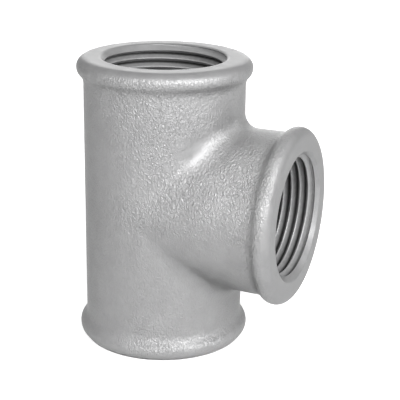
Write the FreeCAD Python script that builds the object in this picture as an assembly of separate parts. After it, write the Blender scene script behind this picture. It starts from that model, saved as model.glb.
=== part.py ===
import FreeCAD, Part
import math
import os
from FreeCAD import Vector

# An equal tee for one-inch pipe, cast in malleable iron with a rounded bead at each mouth.
# Sizes are in millimetres. The tee stands on its lower end face, whose centre is the origin.
# The run rises along +Z and the branch leaves it along +X.

# Ports: each is tapped with a fine thread, and its wall here is the crest circle of that thread.
thread_crest_d = 30.291     # minor diameter of an Rp 1 internal thread
port_depth = 17.0           # from an end face to the end of its thread
mouth_chamfer = 1.65        # depth of the 45 degree chamfer at each mouth, just past the thread's roots

# Waterway: the cored space behind the ports, wide enough for the tap to run out.
waterway_relief = 1.85      # how far it is wider than the thread crests, all round
inner_crotch_round = 1.5    # where the branch's core meets the run's core

# Outside of the casting
centre_to_face = 38.0       # from the crossing of the axes to every end face
wall = 4.05                 # iron between the waterway and the outside
crotch_round = 3.5          # blend between the run and the branch
bead_rise = 1.75            # how far each bead stands out of its arm
bead_round = 2.55           # outer round of a bead, which runs out in the end face
bead_root_round = 3.5       # hollow between a bead and its arm

# The branch starts a hair slimmer than the run, so that the crotch runs out at the sides of the
# run, and widens towards its mouth.
branch_step = 0.15          # slimmer at the crossing of the axes, all round, inside and out
branch_swell = 0.2          # wider than the run at its bead, all round

core_overrun = 1.0          # how far the core passes the end faces, so that they are cut clean

thread_crest_r = thread_crest_d / 2
waterway_r = thread_crest_r + waterway_relief
body_r = waterway_r + wall

# Each arm of the tee is first turned about Z with the crossing of the axes at its foot.
crossing = Vector(0, 0, 0)
upwards = Vector(0, 0, 1)
downwards = Vector(0, 0, -1)
sideways = Vector(1, 0, 0)
full_turn = 360


def section_point(radius, height):
    return Vector(radius, 0, height)


def arc_about(centre, start, end):
    """Short arc from start to end round the given centre."""
    half_way = (start - centre) + (end - centre)
    half_way.normalize()
    middle = centre + half_way * start.distanceToPoint(centre)
    return Part.Arc(start, middle, end).toShape()


def chain(points):
    return [Part.makeLine(start, end) for start, end in zip(points, points[1:])]


def turned(edges):
    """Solid made by turning a closed section about Z."""
    section = Part.Face(Part.Wire(edges))
    return section.revolve(crossing, upwards, full_turn)


def skin_arm(foot_r, root_r):
    """Outside of one arm: body, hollow root, and a bead that rolls into the end face."""
    bead_r = root_r + bead_rise
    bead_centre = section_point(bead_r - bead_round, centre_to_face - bead_round)
    reach = bead_round + bead_root_round
    across = root_r + bead_root_round - bead_centre.x
    root_height = bead_centre.z - math.sqrt(reach ** 2 - across ** 2)
    root_centre = section_point(root_r + bead_root_round, root_height)
    touch = bead_centre + (root_centre - bead_centre) * (bead_round / reach)
    crest = section_point(bead_r, bead_centre.z)
    lip = section_point(bead_centre.x, centre_to_face)
    root = section_point(root_r, root_height)
    body = chain([section_point(0, centre_to_face), section_point(0, 0), section_point(foot_r, 0), root])
    bead = [arc_about(root_centre, root, touch),
            arc_about(bead_centre, touch, crest),
            arc_about(bead_centre, crest, lip)]
    return turned(body + bead + chain([lip, section_point(0, centre_to_face)]))


def core_arm(arm_r):
    """Space inside one arm: waterway, 45 degree shoulder, port wall and mouth chamfer."""
    port_end = centre_to_face - port_depth
    shoulder = arm_r - thread_crest_r
    mouth_r = thread_crest_r + mouth_chamfer
    outline = [section_point(0, 0),
               section_point(arm_r, 0),
               section_point(arm_r, port_end - shoulder),
               section_point(thread_crest_r, port_end),
               section_point(thread_crest_r, centre_to_face - mouth_chamfer),
               section_point(mouth_r, centre_to_face),
               section_point(mouth_r, centre_to_face + core_overrun),
               section_point(0, centre_to_face + core_overrun)]
    return turned(chain(outline + outline[:1]))


def pointed(arm, direction):
    """The arm, swung from upwards to the given direction."""
    swung = arm.copy()
    swung.Placement = FreeCAD.Placement(crossing, FreeCAD.Rotation(upwards, direction))
    return swung


def is_crotch(solid, edge):
    """True for an edge where the run's plain body meets the branch's."""
    faces = solid.ancestorsOfType(edge, Part.Face)
    axes = [face.Surface.Axis for face in faces if isinstance(face.Surface, (Part.Cylinder, Part.Cone))]
    return {abs(axis.z) > abs(axis.x) for axis in axes} == {True, False}


def joined(run_arm, branch_arm, blend):
    """Two run arms and the branch in one solid, with the crotch rounded."""
    run = pointed(run_arm, upwards).fuse(pointed(run_arm, downwards))
    tee = run.fuse(pointed(branch_arm, sideways)).removeSplitter()
    crotch = [edge for edge in tee.Edges if is_crotch(tee, edge)]
    return tee.makeFillet(blend, crotch)


def tee_body():
    run_skin = skin_arm(body_r, body_r)
    branch_skin = skin_arm(body_r - branch_step, body_r + branch_swell)
    outside = joined(run_skin, branch_skin, crotch_round)
    inside = joined(core_arm(waterway_r), core_arm(waterway_r - branch_step), inner_crotch_round)
    casting = outside.cut(inside)
    casting.translate(Vector(0, 0, centre_to_face))
    return casting


os.makedirs("parts", exist_ok=True)
body = tee_body()
body.exportStep("parts/tee_body.step")
print("tee_body: solids", len(body.Solids), "valid", body.isValid(), "volume mm3", round(body.Volume, 1))
print("run radius", round(body_r, 3), "waterway radius", round(waterway_r, 3))
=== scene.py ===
import math

import bmesh
import bpy
import numpy as np
from mathutils import Matrix, Vector, noise


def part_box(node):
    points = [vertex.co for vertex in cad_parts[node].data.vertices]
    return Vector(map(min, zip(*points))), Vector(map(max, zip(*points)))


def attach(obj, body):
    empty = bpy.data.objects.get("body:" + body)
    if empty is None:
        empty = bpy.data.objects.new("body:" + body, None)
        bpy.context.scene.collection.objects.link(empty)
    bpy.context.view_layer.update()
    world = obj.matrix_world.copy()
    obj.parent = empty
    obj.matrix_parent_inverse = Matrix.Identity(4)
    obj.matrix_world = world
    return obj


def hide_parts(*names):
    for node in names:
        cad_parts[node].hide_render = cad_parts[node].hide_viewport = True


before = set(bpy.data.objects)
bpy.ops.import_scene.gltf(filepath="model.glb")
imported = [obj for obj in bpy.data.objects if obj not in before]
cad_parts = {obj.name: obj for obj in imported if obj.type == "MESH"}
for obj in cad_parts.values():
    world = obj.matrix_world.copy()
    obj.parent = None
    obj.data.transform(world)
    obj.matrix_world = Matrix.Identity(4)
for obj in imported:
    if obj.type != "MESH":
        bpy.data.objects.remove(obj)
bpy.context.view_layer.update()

mm = 0.001
weldGap = 1e-6                                  # metres between points that are one point
sliceGap = 1e-7                                 # metres within which a point lies on a slice
tiny = 1e-9                                     # keeps a division away from nought
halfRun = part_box("tee_body")[1].z / 2           # centre of the tee to each end face
armLength = halfRun / mm
crossing = Vector((0, 0, halfRun))              # where the two axes meet
upRun = Vector((0, 0, 1))
alongBranch = Vector((1, 0, 0))


# Helpers for meshes

def addObject(name, data):
    added = bpy.data.objects.new(name, data)
    bpy.context.scene.collection.objects.link(added)
    return added


def newObject(name, bm):
    mesh = bpy.data.meshes.new(name)
    bm.to_mesh(mesh)
    bm.free()
    return addObject(name, mesh)


def applyModifiers(piece):
    graph = bpy.context.evaluated_depsgraph_get()
    finished = bpy.data.meshes.new_from_object(piece.evaluated_get(graph))
    piece.modifiers.clear()
    piece.data = finished


def cutAway(piece, cutter):
    cut = piece.modifiers.new("cut", "BOOLEAN")
    cut.operation = "DIFFERENCE"
    cut.solver = "MANIFOLD"
    cut.object = cutter
    applyModifiers(piece)
    bpy.data.objects.remove(cutter)


def remeshed(piece, voxel):
    net = piece.modifiers.new("net", "REMESH")
    net.mode = "VOXEL"
    net.voxel_size = voxel
    applyModifiers(piece)


def sliceOff(bm, place, outward):
    everything = bm.verts[:] + bm.edges[:] + bm.faces[:]
    bmesh.ops.bisect_plane(bm, geom=everything, dist=sliceGap, plane_co=place, plane_no=outward,
                           clear_outer=True)


def smoothStep(low, high, value):
    share = np.clip((value - low) / (high - low), 0, 1)
    return share * share * (3 - 2 * share)


def pointsOf(mesh):
    flat = np.empty(len(mesh.vertices) * 3)
    mesh.vertices.foreach_get("co", flat)
    return flat.reshape(-1, 3)


def movePoints(mesh, points):
    mesh.vertices.foreach_set("co", points.ravel())
    mesh.update()


# The casting's sizes in millimetres. Its form is the solid's, with a crotch that widens at the sides.
casting = {
    "bodyRadius": 21.0455,
    "branchStep": 0.15,                       # the branch is this much slimmer at the crossing
    "branchSwell": 0.2,                       # and this much wider at its bead
    "crotchRound": 3.5,
    "crotchWidening": 3.5,                    # the blend grows by this towards the sides of the run
    "wideningStarts": 0.15,                   # share of the body's radius, off the plane of the axes
    "wideningFull": 0.8,
    "beadRise": 1.75,
    "beadRound": 2.55,
    "beadRoot": 3.5,
    "insideRadius": 18.5,                     # between the waterway's radius and the body's
    "voxel": 0.6,
    "fittingRounds": 3,                       # moves of the net onto the form
    "slopeStep": 0.02,                        # over which the form's slope is measured
    "flattest": 0.9999,                       # cosine past which two skins count as parallel
}

# The cast skin. A lump has a size, a height and an offset in the noise. A rough patch has a centre,
# measured from the crossing, a reach, and the grain that it adds: below nought in the smooth crotch.
castSkin = {
    "lumps": [(4.2, 0.018, 11.0), (1.7, 0.020, 37.0), (1.0, 0.012, 71.0)],
    "startsBelowFace": 0.2,
    "fullBelowFace": 2.6,
    "plainGrain": 0.30,                       # grain away from the rough patches
    "roughPatches": [((26, -14, 11), 13, 1.1), ((6, -21, 6), 11, 0.5), ((2, -20, 20), 12, 0.1),
                     ((14, -15, 28), 9, 0.15), ((15, -15, 17), 5, -0.8), ((19, -9, 20), 6, -0.5),
                     ((0, -22, 36), 14, 0.5), ((36, -16, 8), 9, 0.5), ((4, -22, -35), 10, 0.3),
                     ((-20, 12, -12), 16, 0.5), ((-8, 22, 16), 14, 0.6), ((22, 17, 2), 14, 0.7)],
}


# How far points stand outside one arm, from their radius and their depth below its end face
def armGap(radial, depth, footRadius, rootRadius):
    beadRound, beadRoot = casting["beadRound"], casting["beadRoot"]
    beadMid = rootRadius + casting["beadRise"] - beadRound
    reach = beadRound + beadRoot
    across = rootRadius + beadRoot - beadMid
    rootDepth = beadRound + math.sqrt(reach ** 2 - across ** 2)
    touchDepth = beadRound + (rootDepth - beadRound) * beadRound / reach
    slope = np.clip((armLength - depth) / (armLength - rootDepth), 0, 1)
    body = radial - (footRadius + (rootRadius - footRadius) * slope)
    root = beadRoot - np.hypot(radial - rootRadius - beadRoot, depth - rootDepth)
    bead = np.hypot(radial - beadMid, depth - beadRound) - beadRound
    face = np.where(radial > beadMid, bead, -depth)
    gap = np.where(depth < beadRound, face, bead)
    gap = np.where(depth > touchDepth, root, gap)
    return np.where(depth > rootDepth, body, gap)


# How far points stand outside the whole casting, in millimetres from the crossing of the axes
def teeGap(points):
    x, y, z = points.T
    runRadial, branchRadial = np.hypot(x, y), np.hypot(y, z)
    body = casting["bodyRadius"]
    run = armGap(runRadial, armLength - np.abs(z), body, body)
    branch = armGap(branchRadial, armLength - x, body - casting["branchStep"], body + casting["branchSwell"])
    branch = np.where(x > 0, branch, armLength)
    widening = smoothStep(casting["wideningStarts"], casting["wideningFull"], np.abs(y) / body)
    ball = casting["crotchRound"] + casting["crotchWidening"] * widening
    lean = y * y / np.maximum(runRadial * branchRadial, tiny)     # cosine between the two skins
    lean = np.clip(lean, 0, casting["flattest"])
    toRun, toBranch = ball - run, ball - branch
    rolled = ball - np.sqrt((toRun ** 2 + toBranch ** 2 - 2 * toRun * toBranch * lean) / (1 - lean ** 2))
    inBlend = (toRun > lean * toBranch) & (toBranch > lean * toRun)
    return np.where(inBlend, rolled, np.minimum(run, branch))


def teeOutward(points):
    nudges = np.eye(3) * casting["slopeStep"]
    slope = np.stack([teeGap(points + nudge) - teeGap(points - nudge) for nudge in nudges], axis=1)
    return slope / np.maximum(np.linalg.norm(slope, axis=1, keepdims=True), tiny)


def depthBelowFaces(points):
    ends = np.stack([armLength - np.abs(points[:, 2]), armLength - points[:, 0]], axis=1)
    return ends.min(axis=1)


def lumpiness(points, lumps):
    heights = np.zeros(len(points))
    for size, height, shift in lumps:
        offset = Vector((shift, shift, shift))
        heights += [height * noise.noise(Vector(point) / size + offset) for point in points]
    return heights


# The solid's outer skin or its inner walls, as a loose shell
def bareCopy(inside):
    bm = bmesh.new()
    bm.from_mesh(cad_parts["tee_body"].data)
    bmesh.ops.remove_doubles(bm, verts=bm.verts, dist=weldGap)
    deep = casting["insideRadius"] * mm
    farthest = halfRun - 0.01 * mm            # short of the end faces

    def isInside(face):
        place = face.calc_center_median() - crossing
        inRun = math.hypot(place.x, place.y) < deep and abs(place.z) < farthest
        inBranch = math.hypot(place.y, place.z) < deep and 0 < place.x < farthest
        return inRun or inBranch

    unwanted = [face for face in bm.faces if isInside(face) != inside]
    bmesh.ops.delete(bm, geom=unwanted, context="FACES")
    return bm


def closeHoles(bm):
    rims = [edge for edge in bm.edges if edge.is_boundary]
    bmesh.ops.holes_fill(bm, edges=rims, sides=0)
    bmesh.ops.triangulate(bm, faces=[face for face in bm.faces if len(face.verts) > 4])
    bmesh.ops.recalc_face_normals(bm, faces=bm.faces)


def makeCasting():
    bm = bareCopy(inside=False)
    closeHoles(bm)
    piece = newObject("galvanisedTee", bm)
    remeshed(piece, casting["voxel"] * mm)
    centre = np.array(crossing)
    points = (pointsOf(piece.data) - centre) / mm
    for _ in range(casting["fittingRounds"]):
        points -= teeOutward(points) * teeGap(points)[:, None]
    rough = smoothStep(castSkin["startsBelowFace"], castSkin["fullBelowFace"], depthBelowFaces(points))
    points += teeOutward(points) * (rough * lumpiness(points, castSkin["lumps"]))[:, None]
    movePoints(piece.data, points * mm + centre)
    print("casting:", len(piece.data.polygons), "faces")
    return piece


# The waterway, as the sand core left it
waterway = {
    "shoulderDepth": 17.0,                    # below each end face
    "voxel": 0.8,
    "lumps": [(3.0, 0.05, 5.0), (1.2, 0.04, 23.0)],
}


def makeWaterwayCore():
    bm = bareCopy(inside=True)
    for direction in (upRun, -upRun, alongBranch):
        sliceOff(bm, crossing + direction * (halfRun - waterway["shoulderDepth"] * mm), direction)
    closeHoles(bm)
    core = newObject("waterwayCore", bm)
    remeshed(core, waterway["voxel"] * mm)
    points = pointsOf(core.data) / mm
    normals = np.array([vertex.normal for vertex in core.data.vertices])
    points += normals * lumpiness(points, waterway["lumps"])[:, None]
    movePoints(core.data, points * mm)
    print("waterway core:", len(core.data.polygons), "faces")
    return core


# The taps, which cut the right-hand threads
portThread = {
    "pitch": 2.309,
    "crestRadius": 15.17,
    "rootRadius": 16.6245,
    "crestShare": 0.12,                       # share of half a pitch that is flat
    "length": 17.6,
    "overrun": 1.0,                           # how far a tap stands out of the end face
    "raggedTurns": 1.5,                       # turns cut off at the foot of the helix
    "spareTurns": 3,
    "stepsPerTurn": 96,
    "pointsPerPitch": 12,
    "starts": {"upper": 302.0, "lower": 120.0, "branch": 121.0},
}


# Radius of the tap at a share of one pitch, with flats at the crest and the root
def threadRadius(share):
    rise = 1 - abs(2 * share - 1)
    flat = portThread["crestShare"]
    climb = min(max((rise - flat) / (1 - 2 * flat), 0), 1)
    return portThread["crestRadius"] + (portThread["rootRadius"] - portThread["crestRadius"]) * climb


# Closes the end that a slice has left open at a height
def capEnd(bm, height):
    near = portThread["pitch"] * mm / 100
    rim = [edge for edge in bm.edges if edge.is_boundary and abs(edge.verts[0].co.z - height) < near]
    bmesh.ops.holes_fill(bm, edges=rim, sides=0)


def makeTap(port):
    pitch, steps, count = portThread["pitch"] * mm, portThread["stepsPerTurn"], portThread["pointsPerPitch"]
    turns = math.ceil(portThread["length"] / portThread["pitch"]) + portThread["spareTurns"]
    bm = bmesh.new()
    profile = [bm.verts.new((threadRadius(i / count) * mm, 0, pitch * i / count)) for i in range(count + 1)]
    edges = [bm.edges.new(pair) for pair in zip(profile, profile[1:])]
    bmesh.ops.spin(bm, geom=profile + edges, cent=(0, 0, 0), axis=(0, 0, 1), dvec=(0, 0, pitch / steps),
                   angle=math.tau * turns, steps=steps * turns, use_merge=False, use_duplicate=False)
    bmesh.ops.remove_doubles(bm, verts=bm.verts, dist=weldGap)
    bottom = pitch * portThread["raggedTurns"]
    top = bottom + (portThread["length"] + portThread["overrun"]) * mm
    for height, outward in ((bottom, -1), (top, 1)):
        sliceOff(bm, (0, 0, height), (0, 0, outward))
        capEnd(bm, height)
    start = Matrix.Rotation(math.radians(portThread["starts"][port]), 3, "Z")
    bmesh.ops.translate(bm, verts=bm.verts, vec=(0, 0, -top + portThread["overrun"] * mm))
    bmesh.ops.rotate(bm, verts=bm.verts, cent=(0, 0, 0), matrix=start)
    bmesh.ops.recalc_face_normals(bm, faces=bm.faces)
    return newObject(port + "Tap", bm)


countersink = {
    "lipRadius": {"upper": 16.55, "lower": 16.8, "branch": 17.0},
    "lipRound": {"upper": 1.2, "lower": 0.6, "branch": 0.6},
    "offCentre": {"upper": (-0.30, 0.18), "lower": (0.1, 0.1), "branch": (0.0, 0.0)},
    "roundSteps": 6,
    "belowCrest": 0.6,                        # radius that the cone's tip keeps inside the crests
    "skirt": (0.6, 0.12),                     # width and rise of the tool beyond its round
    "headHeight": 1.0,
    "segments": 128,
}


# A 45 degree countersink whose edge rolls over into the end face
def makeCountersink(port):
    tip = portThread["crestRadius"] - countersink["belowCrest"]
    lip, roll = countersink["lipRadius"][port], countersink["lipRound"][port]
    slant = math.radians(45)                  # so its radius grows as much as it rises
    start = lip + roll * math.tan(slant / 2)
    outline = [(0, tip - lip), (tip, tip - lip)]
    for step in range(countersink["roundSteps"], -1, -1):
        lean = slant * step / countersink["roundSteps"]
        outline.append((start - roll * math.sin(lean), roll * math.cos(lean) - roll))
    skirtWidth, skirtRise = countersink["skirt"]
    head = countersink["headHeight"]
    outline += [(start + skirtWidth, skirtRise), (start + skirtWidth, head), (0, head)]
    bm = bmesh.new()
    verts = [bm.verts.new((radius * mm, 0, height * mm)) for radius, height in outline]
    edges = [bm.edges.new(pair) for pair in zip(verts, verts[1:])]
    bmesh.ops.spin(bm, geom=verts + edges, cent=(0, 0, 0), axis=(0, 0, 1), dvec=(0, 0, 0),
                   angle=math.tau, steps=countersink["segments"], use_merge=True, use_duplicate=False)
    bmesh.ops.remove_doubles(bm, verts=bm.verts, dist=weldGap)
    aside = Vector((*countersink["offCentre"][port], 0)) * mm
    bmesh.ops.translate(bm, verts=bm.verts, vec=aside)
    bmesh.ops.recalc_face_normals(bm, faces=bm.faces)
    return newObject(port + "Countersink", bm)


# Moves a tool, modelled with its end face at the origin, to the end face of an arm
def pointTool(tool, direction):
    swing = upRun.rotation_difference(direction).to_matrix().to_4x4()
    tool.data.transform(Matrix.Translation(crossing + direction * halfRun) @ swing)


def cutPorts(piece):
    for port, direction in (("upper", upRun), ("lower", -upRun), ("branch", alongBranch)):
        for makeTool in (makeTap, makeCountersink):
            tool = makeTool(port)
            pointTool(tool, direction)
            cutAway(piece, tool)
        print(port, "port cut:", len(piece.data.polygons), "faces")


# How far the cut surfaces are taken to reach, in millimetres
zones = {
    "pastBranchShoulder": 1.5,
    "pastShoulder": 0.4,
    "besideCone": 0.06,
    "besideRoots": 0.1,
    "shadeFadeStarts": 0.3,                        # depth below an end face where the painted shade in the thread roots fades in
    "shadeFadeFull": 2.6,
}


def onCountersinks(points, depth, inBranch):
    x, y, z = points.T
    places = {
        "upper": (~inBranch & (z > 0), x, y),
        "lower": (~inBranch & (z < 0), x, y),
        "branch": (inBranch, -z, y),
    }
    onCone = np.zeros(len(points), bool)
    for port, (inArm, across, aside) in places.items():
        shift = countersink["offCentre"][port]
        fromAxis = np.hypot(across - shift[0], aside - shift[1])
        onCone |= inArm & (fromAxis + depth < countersink["lipRadius"][port] + zones["besideCone"])
    return onCone


def grainAt(points):
    grain = np.full(len(points), castSkin["plainGrain"])
    for centre, reach, extra in castSkin["roughPatches"]:
        away = np.linalg.norm(points - np.array(centre), axis=1) / reach
        grain += extra * np.exp(-away ** 2)
    return grain


# Point attributes for the finish: grain of the cast skin, tapped surfaces, and depth in a thread, which sets
# the painted shade in the roots
def markZones(mesh):
    points = (pointsOf(mesh) - np.array(crossing)) / mm
    x, y, z = points.T
    depth = depthBelowFaces(points)
    shoulder = waterway["shoulderDepth"]
    inBranch = x > armLength - shoulder - zones["pastBranchShoulder"]
    radial = np.where(inBranch, np.hypot(y, z), np.hypot(x, y))
    inPort = (radial < casting["insideRadius"]) & (depth < shoulder + zones["pastShoulder"])
    inThread = radial < portThread["rootRadius"] + zones["besideRoots"]
    tapped = inPort & inThread & ~onCountersinks(points, depth, inBranch)
    skin = smoothStep(castSkin["startsBelowFace"], castSkin["fullBelowFace"], depth) * grainAt(points)
    skin[inPort] = 0
    threadHeight = portThread["rootRadius"] - portThread["crestRadius"]
    toRoot = np.clip((radial - portThread["crestRadius"]) / threadHeight, 0, 1)
    # the painted root shade fades out towards each end face
    shadeFade = smoothStep(zones["shadeFadeStarts"], zones["shadeFadeFull"], depth)
    threadDepth = np.where(tapped, toRoot * shadeFade, 0)
    for name, values in (("castSkin", skin), ("tapped", tapped), ("threadDepth", threadDepth)):
        layer = mesh.attributes.new(name, "FLOAT", "POINT")
        layer.data.foreach_set("value", values.astype(np.float32))
    return tapped


galvanised = {
    "lightTone": (0.352, 0.352, 0.354, 1),
    "darkTone": (0.243, 0.243, 0.245, 1),
    "mottle": 0.25,                           # share of the tones that the mottling takes
    "roughLightens": 0.62,                    # and the share that the rough patches take
    "metallic": 0.5,                          # zinc gone dull, so half of its light is scattered
    "gloss": 0.1,
    "edgeTint": (0.5, 0.5, 0.5, 1),
    "roughness": (0.29, 0.37),                # polished spots and dull spots
    "grainSize": 0.44,                        # mm across one ridge of the orange peel
    "grainHeight": 0.88,                      # mm
    "mottleSize": 3.5,
}
cutMetal = {
    "lightTone": (0.29, 0.29, 0.292, 1),
    "darkTone": (0.25, 0.25, 0.252, 1),
    "mottle": 1.0,
    "roughLightens": 0.0,
    "metallic": 0.35,
    "gloss": 0.3,
    "edgeTint": (0.7, 0.7, 0.7, 1),
    "roughness": (0.36, 0.46),
    "grainSize": 0.35,
    "grainHeight": 0.01,
    "mottleSize": 1.2,
    "rootShadeTone": (0.02, 0.02, 0.02, 1),        # painted shade: near black where the crests shade the thread roots
    "rootShadeStarts": 0.68,                       # share of the thread's depth where it begins
    "rootShadeFull": 1.0,
}
zincNoise = {
    "upright": (1.0, 0.85, 0.58),             # the ridges run mostly up and down
    "ridges": {"Detail": 2.0, "Roughness": 0.5, "Distortion": 0.8},
    "mottle": {"Detail": 3.0, "Roughness": 0.6, "Distortion": 0.2},
    "patches": {"Scale": 55.0, "Detail": 1.0},
    "span": (0.35, 0.65),                     # where the noise's values mostly lie
    "faintest": 0.55,                         # share of the grain's height between the patches
}


# Helpers for materials

def setInputs(node, values):
    for socket, value in values.items():
        node.inputs[socket].default_value = value


def addNode(tree, kind, values=None, **settings):
    node = tree.nodes.new("ShaderNode" + kind)
    for setting, value in settings.items():
        setattr(node, setting, value)
    setInputs(node, values or {})
    return node


def wire(tree, source, output, target, socket):
    tree.links.new(source.outputs[output], target.inputs[socket])


def combined(tree, operation, first, second):
    node = addNode(tree, "Math", operation=operation)
    for socket, (source, output) in enumerate((first, second)):
        wire(tree, source, output, node, socket)
    return node


def newMaterial(name, values):
    material = bpy.data.materials.new(name)
    material.use_nodes = True
    tree = material.node_tree
    shader = tree.nodes["Principled BSDF"]
    setInputs(shader, values)
    return material, tree, shader


# Shared by both finishes: fine ridges, slow mottling, and patches where the ridges are fainter
def zincSurfaceGroup():
    group = bpy.data.node_groups.new("zincSurface", "ShaderNodeTree")
    group.interface.new_socket(name="Place", in_out="INPUT", socket_type="NodeSocketVector")
    for name in ("Grain Scale", "Mottle Scale"):
        group.interface.new_socket(name=name, in_out="INPUT", socket_type="NodeSocketFloat")
    for name in ("Ridges", "Mottle", "Patches"):
        group.interface.new_socket(name=name, in_out="OUTPUT", socket_type="NodeSocketFloat")
    entry = group.nodes.new("NodeGroupInput")
    leave = group.nodes.new("NodeGroupOutput")
    upright = addNode(group, "VectorMath", {1: zincNoise["upright"]}, operation="MULTIPLY")
    ridges = addNode(group, "TexNoise", zincNoise["ridges"])
    mottle = addNode(group, "TexNoise", zincNoise["mottle"])
    patches = addNode(group, "TexNoise", zincNoise["patches"])
    wire(group, entry, "Place", upright, 0)
    wire(group, upright, "Vector", ridges, "Vector")
    wire(group, entry, "Place", mottle, "Vector")
    wire(group, entry, "Place", patches, "Vector")
    wire(group, entry, "Grain Scale", ridges, "Scale")
    wire(group, entry, "Mottle Scale", mottle, "Scale")
    wire(group, ridges, "Fac", leave, "Ridges")
    wire(group, mottle, "Fac", leave, "Mottle")
    wire(group, patches, "Fac", leave, "Patches")
    return group


# Spreads one of the surface's noises over a range
def spreadNoise(tree, surface, output, low, high):
    least, most = zincNoise["span"]
    spread = addNode(tree, "MapRange", {"From Min": least, "From Max": most, "To Min": low, "To Max": high})
    wire(tree, surface, output, spread, "Value")
    return spread


def zincTone(tree, finish, surface, zone):
    mottle = spreadNoise(tree, surface, "Mottle", 0, finish["mottle"])
    share = addNode(tree, "Math", {1: finish["roughLightens"]}, operation="MULTIPLY_ADD", use_clamp=True)
    wire(tree, zone, "Fac", share, 0)
    wire(tree, mottle, "Result", share, 2)
    tone = addNode(tree, "MixRGB", {"Color1": finish["darkTone"], "Color2": finish["lightTone"]})
    wire(tree, share, "Value", tone, "Fac")
    return tone


def orangePeel(tree, finish, surface, zone):
    amount = spreadNoise(tree, surface, "Patches", zincNoise["faintest"], 1)
    height = combined(tree, "MULTIPLY", (surface, "Ridges"), (amount, "Result"))
    masked = combined(tree, "MULTIPLY", (height, "Value"), (zone, "Fac"))
    bump = addNode(tree, "Bump", {"Strength": 1.0, "Distance": finish["grainHeight"] * mm})
    wire(tree, masked, "Value", bump, "Height")
    return bump


def metalMaterial(name, finish, group, mask):
    material, tree, shader = newMaterial(name, {"Metallic": finish["metallic"],
                                                "Specular IOR Level": finish["gloss"],
                                                "Specular Tint": finish["edgeTint"]})
    scales = {"Grain Scale": 1 / (finish["grainSize"] * mm), "Mottle Scale": 1 / (finish["mottleSize"] * mm)}
    surface = addNode(tree, "Group", scales, node_tree=group)
    wire(tree, addNode(tree, "TexCoord"), "Object", surface, "Place")
    zone = addNode(tree, "Attribute", attribute_name=mask)
    tone = zincTone(tree, finish, surface, zone)
    wire(tree, tone, "Color", shader, "Base Color")
    dull = spreadNoise(tree, surface, "Mottle", *finish["roughness"])
    wire(tree, dull, "Result", shader, "Roughness")
    wire(tree, orangePeel(tree, finish, surface, zone), "Normal", shader, "Normal")
    return material, tone


# Paints shade into the roots of the cut thread, standing in for the shade that the crests cast
def paintRootShade(material, tone):
    tree = material.node_tree
    deep = addNode(tree, "Attribute", attribute_name="threadDepth")
    share = addNode(tree, "MapRange", {"From Min": cutMetal["rootShadeStarts"], "From Max": cutMetal["rootShadeFull"]})
    wire(tree, deep, "Fac", share, "Value")
    # mixes a near-black painted shade into the tone towards the roots
    rootShade = addNode(tree, "MixRGB", {"Color2": cutMetal["rootShadeTone"]})
    wire(tree, share, "Result", rootShade, "Fac")
    wire(tree, tone, "Color", rootShade, "Color1")
    wire(tree, rootShade, "Color", tree.nodes["Principled BSDF"], "Base Color")


sharpAngle = 38                               # degrees between faces that keep a crisp edge


def shadeSmooth(piece):
    mesh = piece.data
    mesh.polygons.foreach_set("use_smooth", [True] * len(mesh.polygons))
    mesh.set_sharp_from_angle(angle=math.radians(sharpAngle))
    level = piece.modifiers.new("level", "WEIGHTED_NORMAL")       # wide faces keep their own slope
    level.keep_sharp = True
    applyModifiers(piece)


def finishTee(piece):
    shadeSmooth(piece)
    mesh = piece.data
    tapped = markZones(mesh)
    zinc = zincSurfaceGroup()
    skin, _ = metalMaterial("galvanisedSkin", galvanised, zinc, "castSkin")
    thread, threadTone = metalMaterial("cutThread", cutMetal, zinc, "tapped")
    paintRootShade(thread, threadTone)
    mesh.materials.clear()
    mesh.materials.append(skin)
    mesh.materials.append(thread)
    for face in mesh.polygons:
        face.material_index = int(all(tapped[corner] for corner in face.vertices))
    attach(piece, "root")
    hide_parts("tee_body")
    print("finish:", int(tapped.sum()), "points of cut thread among", len(tapped))


tee = makeCasting()
cutAway(tee, makeWaterwayCore())
cutPorts(tee)
finishTee(tee)


# The camera, to the right of -Y and above the tee, in degrees and millimetres
view = {
    "azimuth": 23.588,
    "elevation": 18.897,
    "roll": 0.906,
    "distance": 298.357,
    "target": (10.470, -0.053, 38.481),
    "lens": 101.696,
    "sensor": 36,
    "clipStart": 10,
}


def towards(azimuth, height):
    azimuth, height = math.radians(azimuth), math.radians(height)
    level = math.cos(height)
    return Vector((math.sin(azimuth) * level, -math.cos(azimuth) * level, math.sin(height)))


# Stands at a place and looks against the given direction
def standing(place, back):
    return Matrix.Translation(place) @ back.to_track_quat("Z", "Y").to_matrix().to_4x4()


def addCamera():
    data = bpy.data.cameras.new("camera")
    data.lens = view["lens"]
    data.sensor_width = view["sensor"]
    data.clip_start = view["clipStart"] * mm
    camera = addObject("camera", data)
    back = towards(view["azimuth"], view["elevation"])
    place = Vector(view["target"]) * mm + back * view["distance"] * mm
    camera.matrix_world = standing(place, back) @ Matrix.Rotation(math.radians(view["roll"]), 4, "Z")
    bpy.context.scene.camera = camera


# Softboxes round the tee: turn to the right of the camera and height in degrees, and power in watts
softboxes = {
    "highFront": (0, 32, 3.5),
    "highRight": (45, 32, 3.5),
    "lowRight": (45, 8, 1.0),
    "highLeft": (-45, 32, 0.6),
    "highSide": (90, 32, 0.35),
    "topLeft": (-45, 58, 0.4),
    "topRight": (45, 58, 0.3),
    "lowBack": (180, 8, 1.1),
}
softbox = {
    "distance": 0.7,                          # metres from what it aims at
    "size": 0.4,
    "leastFoot": 0.005,                       # its lower edge stays this far above the floor
    "aim": (10, 0, 38),                       # mm
}


def addSoftbox(name, turn, height, power):
    data = bpy.data.lights.new(name, "AREA")
    data.shape = "SQUARE"
    data.size = softbox["size"]
    data.energy = power
    aim = Vector(softbox["aim"]) * mm
    place = aim + towards(view["azimuth"] + turn, height) * softbox["distance"]
    place.z = max(place.z, data.size / 2 + softbox["leastFoot"])
    addObject(name, data).matrix_world = standing(place, place - aim)


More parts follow.
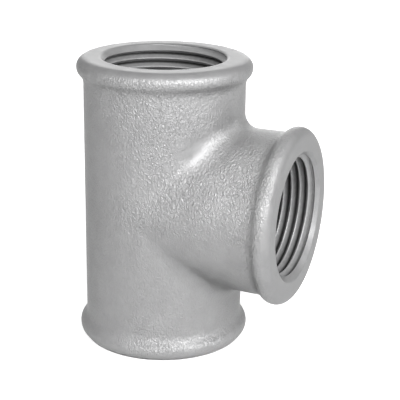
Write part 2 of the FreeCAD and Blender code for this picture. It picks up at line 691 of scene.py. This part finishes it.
# One for what the camera sees, itself or mirrored, and nought for light on the object
def seenMask(tree):
    path = addNode(tree, "LightPath")
    direct = combined(tree, "MAXIMUM", (path, "Is Camera Ray"), (path, "Is Glossy Ray"))
    return combined(tree, "MAXIMUM", (direct, "Value"), (path, "Is Transmission Ray"))


paleFloor = {
    "reach": 3,                               # metres each way
    "colour": (0.8, 0.8, 0.8, 1),
    "glow": (0.75, 1.0),                      # tops the floor up to white, near the tee and far from it
    "glowReach": (0.1, 0.5),                  # metres from the origin
    "footprint": 21.5,                        # mm round the origin without the glow, under the tee
}


def addFloor():
    bm = bmesh.new()
    bmesh.ops.create_grid(bm, x_segments=1, y_segments=1, size=paleFloor["reach"])
    floor = newObject("floor", bm)
    material, tree, shader = newMaterial("paleFloor", {"Base Color": paleFloor["colour"],
                                                       "Roughness": 1.0,
                                                       "Specular IOR Level": 0.0,
                                                       "Emission Color": (1, 1, 1, 1)})
    place = addNode(tree, "TexCoord")
    radius = addNode(tree, "VectorMath", operation="LENGTH")
    wire(tree, place, "Object", radius, 0)
    clear = addNode(tree, "Math", {1: paleFloor["footprint"] * mm}, operation="GREATER_THAN")
    wire(tree, radius, "Value", clear, 0)
    glow = combined(tree, "MULTIPLY", (seenMask(tree), "Value"), (clear, "Value"))
    near, far = paleFloor["glowReach"]
    faint, full = paleFloor["glow"]
    rising = addNode(tree, "MapRange", {"From Min": near, "From Max": far, "To Min": faint, "To Max": full})
    wire(tree, radius, "Value", rising, "Value")
    strength = combined(tree, "MULTIPLY", (glow, "Value"), (rising, "Result"))
    wire(tree, strength, "Value", shader, "Emission Strength")
    floor.data.materials.append(material)


def addWorld():
    world = bpy.data.worlds.new("studio")
    bpy.context.scene.world = world
    world.use_nodes = True
    tree = world.node_tree
    background = tree.nodes["Background"]
    setInputs(background, {"Color": (1, 1, 1, 1)})
    wire(tree, seenMask(tree), "Value", background, "Strength")


bpy.context.scene.view_settings.view_transform = "Standard"
addCamera()
addWorld()
addFloor()
for name, (turn, height, power) in softboxes.items():
    addSoftbox(name, turn, height, power)
print("studio:", len(softboxes), "softboxes")
